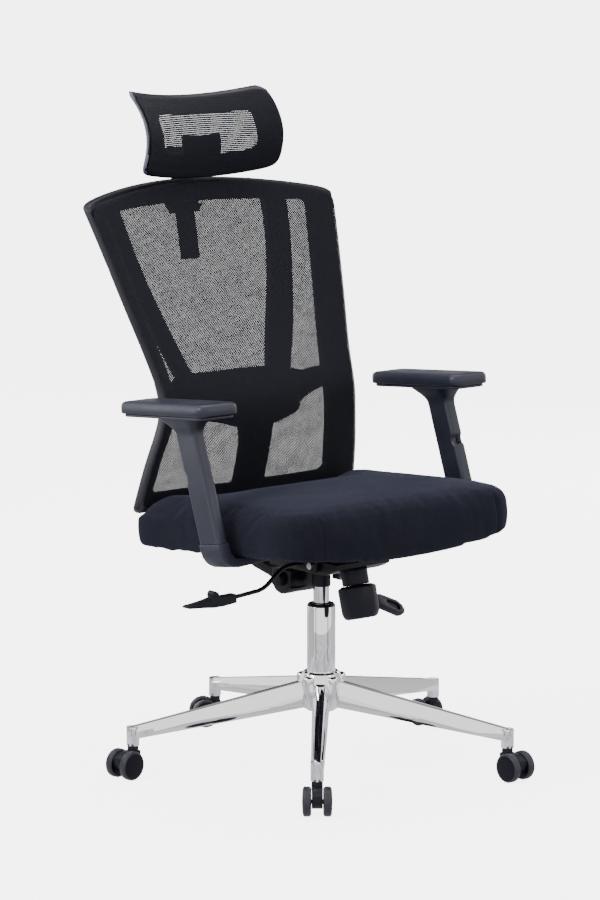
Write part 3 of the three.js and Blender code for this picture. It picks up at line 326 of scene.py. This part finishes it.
def quads_of(label):
    mesh = welded(label, flat=0)
    work = bmesh.new()
    work.from_mesh(mesh)
    bmesh.ops.join_triangles(work, faces=work.faces, angle_face_threshold=QUAD_ANGLE,
                             angle_shape_threshold=QUAD_ANGLE, cmp_seam=False, cmp_sharp=False,
                             cmp_uvs=False, cmp_vcols=False, cmp_materials=False)
    return mesh, work


def softened(label, body, surface):
    """Stands for a curved CAD ring: one smooth surface with softly creased edges."""
    mesh, work = quads_of(label)
    creases = work.edges.layers.float.new("crease_edge")
    for edge in work.edges:
        if len(edge.link_faces) == 2 and edge.calc_face_angle(0) > CREASE_ANGLE:
            edge[creases] = RING_CREASE
    work.to_mesh(mesh)
    work.free()
    piece = added(label + "_finish", mesh, surface)
    piece.modifiers.new("surface", "SUBSURF").levels = FINE_LEVELS
    applied(piece, RING_ANGLE)
    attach(piece, body)
    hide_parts(label)
    return piece


def stretched(label, body, surface):
    """Stands for a CAD mesh sheet: its front face as one fine cloth, turned back at the rim."""
    mesh, work = quads_of(label)
    work.normal_update()
    hidden = [face for face in work.faces if face.normal.y > -0.5]
    bmesh.ops.delete(work, geom=hidden, context="FACES")
    work.to_mesh(mesh)
    work.free()
    piece = added(label + "_cloth", mesh, surface)
    piece.modifiers.new("surface", "SUBSURF").levels = FINE_LEVELS
    applied(piece, CLOTH_ANGLE)
    rim = bmesh.new()
    rim.from_mesh(piece.data)
    border = [edge for edge in rim.edges if edge.is_boundary]
    made = bmesh.ops.extrude_edge_only(rim, edges=border)["geom"]
    turned_back = [item for item in made if isinstance(item, bmesh.types.BMVert)]
    bmesh.ops.translate(rim, verts=turned_back, vec=(0, RIM_TURN, 0))
    rim.to_mesh(piece.data)
    rim.free()
    smoothed(piece.data, CLOTH_ANGLE)
    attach(piece, body)
    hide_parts(label)
    return piece


def lofted(name, loops, place, *surfaces):
    """Closed piece through loops of equal length, the lowest first, set in place by a matrix."""
    count = len(loops[0])
    points = [place @ Vector(point) for loop in loops for point in loop]
    faces = [tuple(reversed(range(count)))]
    for low in range(0, len(points) - count, count):
        for index in range(count):
            following = (index + 1) % count
            faces.append((low + index, low + following, low + count + following, low + count + index))
    faces.append(tuple(range(len(points) - count, len(points))))
    mesh = bpy.data.meshes.new(name)
    mesh.from_pydata(points, [], faces)
    piece = added(name, mesh, *surfaces)
    smoothed(mesh, math.radians(50))
    return piece


def circle(radius, height, sides=40):
    angles = [math.tau * index / sides for index in range(sides)]
    return [(radius * math.cos(angle), radius * math.sin(angle), height) for angle in angles]


def rounded_loop(width, depth, radius, height, steps=8):
    """Rounded rectangle in the XY plane, counter-clockwise."""
    loop = []
    for quarter, (sx, sy) in enumerate([(1, 1), (-1, 1), (-1, -1), (1, -1)]):
        centre = Vector((sx * (width / 2 - radius), sy * (depth / 2 - radius)))
        for step in range(steps + 1):
            angle = math.pi / 2 * (quarter + step / steps)
            loop.append((centre.x + radius * math.cos(angle), centre.y + radius * math.sin(angle), height))
    return loop


def smooth(value, start, end):
    share = min(max((value - start) / (end - start), 0), 1)
    return share * share * (3 - 2 * share)


def joined_box(work, centre, size):
    corner = Matrix.Translation(centre) @ Matrix.Diagonal((*size, 1))
    bmesh.ops.create_cube(work, size=1, matrix=corner)


def carved(piece, place, boxes):
    """Cuts boxes, given as (centre, size) in the piece's own axes, out of a piece."""
    work = bmesh.new()
    for centre, size in boxes:
        joined_box(work, Vector(centre), size)
    work.transform(place)
    mesh = bpy.data.meshes.new("cutter")
    work.to_mesh(mesh)
    work.free()
    cutter = added("cutter", mesh)
    difference = piece.modifiers.new("cut", "BOOLEAN")
    difference.object = cutter
    difference.solver = "EXACT"
    applied(piece, math.radians(40))
    bpy.data.objects.remove(cutter)
    bpy.data.meshes.remove(mesh)


# ---------------------------------------------------------------- star base and casters

refined("star_base", "base", chrome, width=1.6 * MM, segments=3)
for label, surface in [("column_tube", chrome), ("column_ring", black_plastic)]:
    refined(label, "base", surface, width=0.6 * MM)
refined("lift_cylinder", "lift", chrome, width=0.4 * MM)

# Round pillars that fill the corners between neighbouring legs at the hub.
PILLAR = [(6, 104), (8.6, 105), (9.5, 107.5), (9.5, 155), (8.6, 158.5), (5, 160.5)]
for index in range(LEG_COUNT):
    heading = FIRST_LEG + math.tau * (index + 0.5) / LEG_COUNT
    place = Matrix.Translation(COLUMN) @ Matrix.Rotation(heading, 4, "Z")
    place = place @ Matrix.Translation((PILLAR_REACH, 0, 0))
    loops = [circle(radius * MM, height * MM, 24) for radius, height in PILLAR]
    pillar = lofted(f"hub_pillar_{index + 1}", loops, place, chrome)
    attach(pillar, "base")


def caster_wheel(label, body):
    """The wheel, its tread told apart from its disc by distance from the axle."""
    wheel = refined(label, body, wheel_plastic, width=0.9 * MM)
    wheel.data.materials.append(tread_rubber)
    low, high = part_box(label)
    centre = (low + high) / 2
    axle = Vector((0, 0, 0))
    for face in wheel.data.polygons:
        if face.area > WHEEL_FACE_AREA and abs(face.normal.z) < 0.3:
            axle = face.normal.copy()
    axle.z = 0
    axle.normalize()
    for face in wheel.data.polygons:
        reach = face.center - centre
        radial = reach - axle * reach.dot(axle)
        if radial.length > TREAD_START and abs(face.normal.dot(axle)) < 0.9:
            face.material_index = 1


for index in range(LEG_COUNT):
    caster = f"caster_{index + 1}"
    refined(caster + "_hood", caster, black_plastic, width=1.6 * MM, segments=3)
    for side in ("left", "right"):
        caster_wheel(f"{caster}_wheel_{side}", f"{caster}_{side}")


# ---------------------------------------------------------------- mechanism, levers, back bar

MECHANISM = {
    "mechanism_housing": (black_steel, 1.2),
    "lift_collar": (black_plastic, 0.8),
    "back_hinge_block": (gloss_plastic, 2.5),
    "pivot_cap": (black_plastic, 1.4),
    "zinc_bracket": (zinc, 0.6),
    "lift_lever_handle": (black_plastic, 1.6),
    "tilt_lever_handle": (black_plastic, 1.0),
    "lift_lever_rod": (black_steel, 0.3),
    "tilt_lever_rod": (black_steel, 0.3),
    "tension_sleeve": (black_plastic, 1.0),
    "tension_knob": (black_plastic, 1.4),
    "seat_plate": (black_steel, 0.6),
    "back_bar": (black_steel, 2.0),
    "back_spine": (frame_plastic, 2.6),
    "stem_guide": (black_plastic, 2.2),
    "headrest_stem": (black_plastic, 0.8),
    "headrest_bracket": (black_plastic, 2.0),
    "arm_bracket_left": (arm_plastic, 2.4),
    "arm_bracket_right": (arm_plastic, 2.4),
}
body_of_node = {label: body for body, labels in frame["record"]["behaviour"]["bodies"].items()
                for label in labels}
for label, (surface, width) in MECHANISM.items():
    refined(label, body_of_node[label], surface, width=width * MM, segments=3)

for label in ("column_bushing", "seat_pan", "arm_button_left", "arm_button_right"):
    frame["nodes"][label].data.materials.clear()
    frame["nodes"][label].data.materials.append(black_plastic)
for label in ("piston_rod", "pivot_pin", "tilt_shaft", "arm_post_left", "arm_post_right"):
    frame["nodes"][label].data.materials.clear()
    frame["nodes"][label].data.materials.append(steel)


# ---------------------------------------------------------------- arms

def sleeve_loops(facing):
    """Sections of the arm's sleeve from its slanted foot to the pad, flaring like a trumpet."""
    pad_lean = math.tan(ARM_LEAN - SEAT_TILT)
    foot_lean = math.tan(ARM_LEAN - SEAM_LEAN)
    loops = []
    for level in range(SLEEVE_LEVELS + 1):
        share = level / SLEEVE_LEVELS
        below = (1 - share) * SLEEVE_TOP
        flare = smooth(FLARE_HEIGHT - below, 0, 1.25 * FLARE_HEIGHT) ** 1.5 / FLARE_DIVISOR
        width = SLEEVE_WIDTH + FLARE_WIDTH * flare
        depth = SLEEVE_DEPTH + FLARE_DEPTH * flare
        radius = SLEEVE_ROUND + FLARE_ROUND * min(flare, 1)
        loop = []
        for x, y, _ in rounded_loop(width, depth, min(radius, width * 0.45), 0):
            y += FLARE_SHIFT * flare
            foot = SLEEVE_FOOT + y * foot_lean
            height = foot + (SLEEVE_TOP + y * pad_lean - foot) * share
            if y * facing > 0:
                drop = max(SCOOP_RADIUS ** 2 - (height - BUTTON_HEIGHT) ** 2, 0) ** 0.5 - SCOOP_CENTRE
                side = smooth(y * facing, 0.1 * SLEEVE_DEPTH, 0.45 * SLEEVE_DEPTH)
                y -= facing * max(drop, 0) * side
            loop.append((x, y, height))
        loops.append(loop)
    return loops


# Millimetres: inset from the pad's outline, then height.
PAD_SECTION = [(6, 0), (1.4, 0.8), (0, 3), (0, 12.5), (0.8, 16.2), (3, 19.2), (7, 20.9), (14, 21.6),
               (26, 22)]
PAD_BASE_SECTION = [(6, 0), (1.2, 0.5), (0, 1.6), (0, 4.2), (0.8, 5)]
PAD_BASE_INSET = 4.5
PAD_CORNER = 20
PAD_LEAST_CORNER = 6


def pad_piece(name, place, section, surface, inset):
    loops = []
    for trim, height in section:
        width = PAD_WIDTH - 2 * (trim + inset) * MM
        length = PAD_LENGTH - 2 * (trim + inset) * MM
        loops.append(rounded_loop(width, length, max(PAD_CORNER - trim, PAD_LEAST_CORNER) * MM, height * MM))
    return lofted(name, loops, place, surface)


for side, label in ((1, "left"), (-1, "right")):
    arm_body = f"arm_{label}"
    foot = COLUMN + Vector((side * ARM_X, ARM_BASE_Y, ARM_BASE_Z))
    place = Matrix.Translation(foot) @ Matrix.Rotation(-ARM_LEAN, 4, "X")
    facing = -side
    sleeve = lofted(f"arm_sleeve_{label}_finish", sleeve_loops(facing), place, arm_plastic)
    face_y = facing * SLEEVE_DEPTH / 2
    carved(sleeve, place, [
        ((0, 0, HOLLOW_MIDDLE), SLEEVE_HOLLOW),
        ((0, face_y - facing * WELL_DEPTH, BUTTON_HEIGHT), BUTTON_WELL),
    ])
    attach(sleeve, arm_body)
    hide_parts(f"arm_sleeve_{label}")
    seat_side = COLUMN + Vector((side * PAD_X, PAD_Y, PAD_Z))
    place = Matrix.Translation(seat_side) @ Matrix.Rotation(-SEAT_TILT, 4, "X")
    base = pad_piece(f"arm_pad_base_{label}_finish", place, PAD_BASE_SECTION, arm_plastic,
                     PAD_BASE_INSET)
    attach(base, arm_body)
    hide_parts(f"arm_pad_base_{label}")
    lifted = place @ Matrix.Translation((0, 0, PAD_LIFT))
    pad = pad_piece(f"arm_pad_{label}_finish", lifted, PAD_SECTION, arm_plastic, 0)
    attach(pad, arm_body)
    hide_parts(f"arm_pad_{label}")


# ---------------------------------------------------------------- back and headrest

LIGHT_END = 0.93         # share of the headrest's half width past which its rim is the light plastic
FACING_FRONT = -0.55     # faces whose normal points further forward than this stay dark

softened("back_frame", "back", frame_plastic)
head_ring = softened("headrest_frame", "headrest", head_plastic)
head_ring.data.materials.append(frame_plastic)
head_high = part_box("headrest_frame")[1]
for face in head_ring.data.polygons:
    inside = abs(face.center.x - COLUMN.x) < LIGHT_END * (head_high.x - COLUMN.x)
    if face.normal.y < FACING_FRONT or inside:
        face.material_index = 1
back_cloth = stretched("back_mesh", "back", back_net)
head_cloth = stretched("headrest_mesh", "headrest", head_net)


# ---------------------------------------------------------------- seat

SEAT_PLANE = 410 * MM
SEAT_PLANE_Y = COLUMN.y - 24.5 * MM
COVER_DROP = 7 * MM
CROWN_LIFT = 6 * MM
REAR_SPREAD = 7 * MM
REAR_DIP = 19 * MM
SEAM_X = 196 * MM
SEAM_DEPTH = 1.6 * MM
SEAM_WIDTH = 2.4 * MM
SEAM_TOP = 58 * MM
# Each band is where a change of the cover begins and is complete: levels above the seat's plane,
# distances from the cushion's middle, or (RIM_BAND) the share of the way to its outline.
LIP_LEVELS = (0, 34 * MM)
CROWN_LEVELS = (30 * MM, 62 * MM)
RIM_BAND = (0.7, 1)
RIM_LOSS = 0.4                           # share of the crown's lift lost at the outline
SPREAD_LEVELS = (44 * MM, 56 * MM)
SPREAD_BEHIND = (0.1, 0.2)
SPREAD_ASIDE = (0.12, 0.24)
DIP_LEVELS = (30 * MM, 55 * MM)
DIP_BEHIND = (0.02, 0.2)
DIP_ASIDE = (0.13, 0.225)
SEAT_STRETCH = 1.012
SEAT_VOXEL = 5 * MM
RELAX_STEPS = 6
CLOTH_PRESSURE = 4
SEAT_CAP = 7 * MM
SIMULATED_FRAMES = 20


def seat_cushion():
    piece = added("seat_cushion_cover", welded("seat_cushion", flat=0), seat_fabric)
    low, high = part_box("seat_cushion")
    middle = (low + high) / 2
    for vertex in piece.data.vertices:
        vertex.co.x = middle.x + (vertex.co.x - middle.x) * SEAT_STRETCH
    remesh = piece.modifiers.new("remesh", "REMESH")
    remesh.mode = "VOXEL"
    remesh.voxel_size = SEAT_VOXEL
    applied(piece, math.pi)
    inflate(piece)
    piece.modifiers.new("surface", "SUBSURF").levels = 1
    relax = piece.modifiers.new("relax", "SMOOTH")
    relax.factor = 0.5
    relax.iterations = RELAX_STEPS
    applied(piece, math.pi)
    settle(piece)
    return piece


def settle(piece):
    """Draws the cover over the pan's edge, lifts the crown, dips the rear and sews the corner seams."""
    low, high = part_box("seat_cushion")
    middle = (low + high) / 2
    for vertex in piece.data.vertices:
        point = vertex.co
        level = point.z - SEAT_PLANE - (SEAT_PLANE_Y - point.y) * math.tan(SEAT_TILT)
        lower = 1 - smooth(level, *LIP_LEVELS)
        point.z -= COVER_DROP * lower
        reach = abs(point.x - middle.x)
        rim = max(reach / (high.x - middle.x), abs(point.y - middle.y) / (high.y - middle.y))
        point.z += CROWN_LIFT * smooth(level, *CROWN_LEVELS) * (1 - RIM_LOSS * smooth(rim, *RIM_BAND))
        rear = smooth(point.y - middle.y, *SPREAD_BEHIND) * (1 - smooth(level, *SPREAD_LEVELS))
        side = 1 if point.x > middle.x else -1
        behind = smooth(point.y - middle.y, *DIP_BEHIND) * smooth(level, *DIP_LEVELS)
        point.z -= REAR_DIP * behind * (1 - smooth(reach, *DIP_ASIDE))
        point.y += REAR_SPREAD * rear
        point.x += side * REAR_SPREAD * rear * smooth(reach, *SPREAD_ASIDE)
        for seam_x in (middle.x - SEAM_X, middle.x + SEAM_X):
            if point.y < middle.y and level < SEAM_TOP:
                point.y += SEAM_DEPTH * math.exp(-((point.x - seam_x) / SEAM_WIDTH) ** 2)


def inflate(piece):
    """Lets the cover swell over its foam, then caps how far any point has moved."""
    before = [vertex.co.copy() for vertex in piece.data.vertices]
    cloth = piece.modifiers.new("cloth", "CLOTH")
    cloth.settings.use_pressure = True
    cloth.settings.uniform_pressure_force = CLOTH_PRESSURE
    cloth.settings.effector_weights.gravity = 0
    cloth.point_cache.frame_start = 1
    cloth.point_cache.frame_end = SIMULATED_FRAMES
    for step in range(1, SIMULATED_FRAMES + 1):
        bpy.context.scene.frame_set(step)
    graph = bpy.context.evaluated_depsgraph_get()
    after = [vertex.co.copy() for vertex in piece.evaluated_get(graph).data.vertices]
    piece.modifiers.clear()
    for vertex, start, end in zip(piece.data.vertices, before, after):
        move = end - start
        if move.length > SEAT_CAP:
            move *= SEAT_CAP / move.length
        vertex.co = start + move
    bpy.context.scene.frame_set(1)


cushion = seat_cushion()
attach(cushion, "seat")
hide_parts("seat_cushion")


# ---------------------------------------------------------------- camera, floor and lights

CAMERA_LENS = 140.5
CAMERA_PLACE = (-3.8885, -4.6183, 1.537)
CAMERA_AIM = (0.634, 0.756, -0.161)
camera_data = bpy.data.cameras.new("camera")
camera_data.lens = CAMERA_LENS
camera_data.sensor_width = 36
camera = bpy.data.objects.new("camera", camera_data)
bpy.context.scene.collection.objects.link(camera)
camera.location = CAMERA_PLACE
camera.rotation_euler = Vector(CAMERA_AIM).to_track_quat("-Z", "Y").to_euler()
bpy.context.scene.camera = camera


def four_sided(name, corners, surface):
    mesh = bpy.data.meshes.new(name)
    mesh.from_pydata(corners, [], [(0, 1, 2, 3)])
    return added(name, mesh, surface)


def level_square(name, size, surface):
    half = size / 2
    return four_sided(name, [(-half, -half, 0), (half, -half, 0), (half, half, 0), (-half, half, 0)],
                      surface)


FLOOR_SIZE = 120
FLOOR_GLOW = 4.6
floor_paint, floor_tree, floor_shader, floor_place = shaded("floor", Roughness=0.9,
                                                            Specular_IOR_Level=0.1)
floor_tone = blended(floor_tree, noise(floor_tree, floor_place, 3.0), (0.93, 0.93, 0.94),
                     (0.97, 0.97, 0.98))
floor_tree.links.new(floor_tone, floor_shader.inputs["Base Color"])
floor_shader.inputs["Emission Color"].default_value = (1, 1, 1, 1)
floor_shader.inputs["Emission Strength"].default_value = FLOOR_GLOW
floor = level_square("floor", FLOOR_SIZE, floor_paint)
floor.visible_diffuse = False
floor.visible_glossy = False

# A backdrop in the floor's own paint stands on its edges, so that low views show no horizon.
BACKDROP_HEIGHT = 60
BACKDROP_REACH = FLOOR_SIZE / 2
for name, x, y in [("backdrop_front", 0, -1), ("backdrop_right", 1, 0), ("backdrop_back", 0, 1),
                   ("backdrop_left", -1, 0)]:
    middle = Vector((x, y, 0)) * BACKDROP_REACH
    along = Vector((-y, x, 0)) * BACKDROP_REACH
    rise = Vector((0, 0, BACKDROP_HEIGHT))
    wall = four_sided(name, [middle - along, middle + along, middle + along + rise, middle - along + rise],
                      floor_paint)
    wall.visible_diffuse = False
    wall.visible_glossy = False
    wall.visible_shadow = False

# Reflections see this greyer floor in place of the other, so that polished parts stand out from it.
MIRROR_SIZE = 24
MIRROR_GLOW = 1.15
MIRROR_DROP = 1 * MM
mirror_paint, mirror_tree, mirror_shader, mirror_place = shaded("floor_mirror", Roughness=1.0,
                                                                Specular_IOR_Level=0.0)
mirror_cloud = ranged(mirror_tree, noise(mirror_tree, mirror_place, 2.2), 0, 1, 0.35, 0.65)
mirror_tone = blended(mirror_tree, mirror_cloud, (0.55, 0.54, 0.6), (1, 1, 1))
mirror_tree.links.new(mirror_tone, mirror_shader.inputs["Emission Color"])
mirror_shader.inputs["Emission Strength"].default_value = MIRROR_GLOW
mirror_shader.inputs["Base Color"].default_value = (0, 0, 0, 1)
floor_mirror = level_square("floor_mirror", MIRROR_SIZE, mirror_paint)
floor_mirror.location.z = -MIRROR_DROP
floor_mirror.visible_camera = False
floor_mirror.visible_diffuse = False
floor_mirror.visible_shadow = False
floor_mirror.visible_transmission = False

SOFT_LIGHT = 0.6
world = bpy.data.worlds.new("studio")
world.use_nodes = True
world.node_tree.nodes["Background"].inputs["Color"].default_value = (1, 1, 1, 1)
world.node_tree.nodes["Background"].inputs["Strength"].default_value = SOFT_LIGHT
bpy.context.scene.world = world


def panel_light(name, place, target, size, power):
    data = bpy.data.lights.new(name, "AREA")
    data.shape = "RECTANGLE"
    data.size, data.size_y = size
    data.energy = power
    lamp = bpy.data.objects.new(name, data)
    bpy.context.scene.collection.objects.link(lamp)
    lamp.location = place
    lamp.rotation_euler = (Vector(target) - Vector(place)).to_track_quat("-Z", "Y").to_euler()


MIDDLE = (0, 0, 0.6)
panel_light("key", (-3.2, 0.4, 2.4), MIDDLE, (1.4, 2.2), 80)
panel_light("fill", (1.2, -3.6, 1.8), MIDDLE, (1.0, 2.0), 14)
panel_light("top", (0.2, 0.4, 3.4), MIDDLE, (2.0, 2.0), 30)
panel_light("rim", (3.0, 1.6, 2.0), MIDDLE, (1.2, 2.2), 45)


def card(name, place, target, width, height, surface):
    """Card beside the set: only reflections see it, which draws the lines on the chrome."""
    x, y = width / 2, height / 2
    made = four_sided(name, [(-x, -y, 0), (x, -y, 0), (x, y, 0), (-x, y, 0)], surface)
    made.location = place
    made.rotation_euler = (Vector(target) - Vector(place)).to_track_quat("-Z", "Y").to_euler()
    made.visible_camera = False
    made.visible_diffuse = False
    made.visible_shadow = False


def glowing(name, brightness):
    surface, tree, shader, place = shaded(name, Roughness=1.0, Specular_IOR_Level=0.0)
    tone = blended(tree, noise(tree, place, 1.5), (0.75, 0.74, 0.76), (1, 1, 1))
    tree.links.new(tone, shader.inputs["Emission Color"])
    shader.inputs["Emission Strength"].default_value = brightness
    shader.inputs["Base Color"].default_value = (0, 0, 0, 1)
    return surface


# Standing cards face the column from the floor up; their headings count from +X.
STANDING_CARDS = [("card_left", 145, 0.9, 1.0, 0.5, 0.75), ("card_streak", 190, 0.85, 0.08, 0.5, 0.05),
                  ("card_right", 284, 0.85, 0.09, 0.5, 0.05), ("card_far_right", 340, 0.9, 0.8, 0.5, 0.9),
                  ("card_behind", 50, 0.9, 0.5, 0.5, 0.1)]
for name, heading, distance, width, height, brightness in STANDING_CARDS:
    angle = math.radians(heading)
    place = (distance * math.cos(angle), distance * math.sin(angle), height / 2)
    card(name, place, (0, 0, height / 2), width, height, glowing(name, brightness))

# The side card gives the arms, the frame's edge and the headrest's end their satin light; card_back is
# a dim one at the rear right.
CHAIR_MIDDLE = (0, 0, 0.75)
card("card_side", (-2.1, 2.4, 1.0), CHAIR_MIDDLE, 1.3, 1.8, glowing("card_side", 5.0))
card("card_back", (1.8, 2.1, 1.25), CHAIR_MIDDLE, 2.6, 0.9, glowing("card_back", 0.4))

# A bright box round the set, which only reflections see.
SURROUND_GLOW = 2.0
SURROUND_REACH = 11
SURROUND_MIDDLE = (0, 0, 5)
for name, place in [("wall_front", (0, -SURROUND_REACH, 5)), ("wall_back", (0, SURROUND_REACH, 5)),
                    ("wall_left", (-SURROUND_REACH, 0, 5)), ("wall_right", (SURROUND_REACH, 0, 5)),
                    ("ceiling", (0, 0, 10))]:
    card(name, place, SURROUND_MIDDLE, 2 * SURROUND_REACH, 2 * SURROUND_REACH,
         glowing(name, SURROUND_GLOW))

BASE_MIDDLE = (0, 0, 0.12)
card("card_above", (1.6, 1.9, 2.1), BASE_MIDDLE, 4.0, 1.3, glowing("card_above", 0.05))
